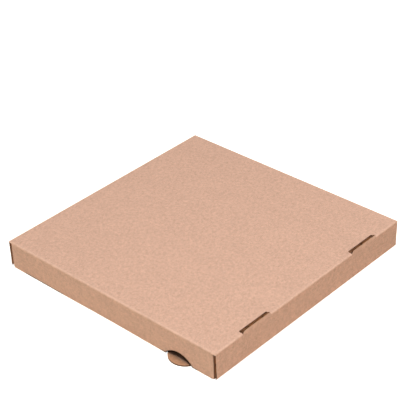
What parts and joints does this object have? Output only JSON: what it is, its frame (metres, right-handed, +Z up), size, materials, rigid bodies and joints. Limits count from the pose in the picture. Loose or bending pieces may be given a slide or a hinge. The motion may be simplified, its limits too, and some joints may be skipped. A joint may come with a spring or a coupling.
{
  "type": "pizza box",
  "caption": "Flat square box folded from one sheet of corrugated board: locked double front wall, tuck-in flaps, half-moon vent tabs and a hinge fold along the rear edge.",
  "frame": {"origin": "on the table under the middle of the closed box", "axes": "+Z up from the table; -Y faces out of the double front wall with the two locks, +Y out of the rear wall with the hinge fold; X runs along the front wall"},
  "size_m": [0.32, 0.304, 0.036],
  "materials": {
    "kraft_board": "matte, uncoated brown kraft liner with fine fibre mottle"
  },
  "bodies": {
    "lower_panel": {"flap_panel": "kraft_board"},
    "cover": {"walled_cover": "kraft_board"}
  },
  "joints": [
    {"name": "cover_hinge", "type": "hinge", "parent": "lower_panel", "child": "cover", "pos_m": [0, 0.15147, 0.00053], "axis": [-1, 0, 0], "range_deg": [0, 90]}
  ]
}
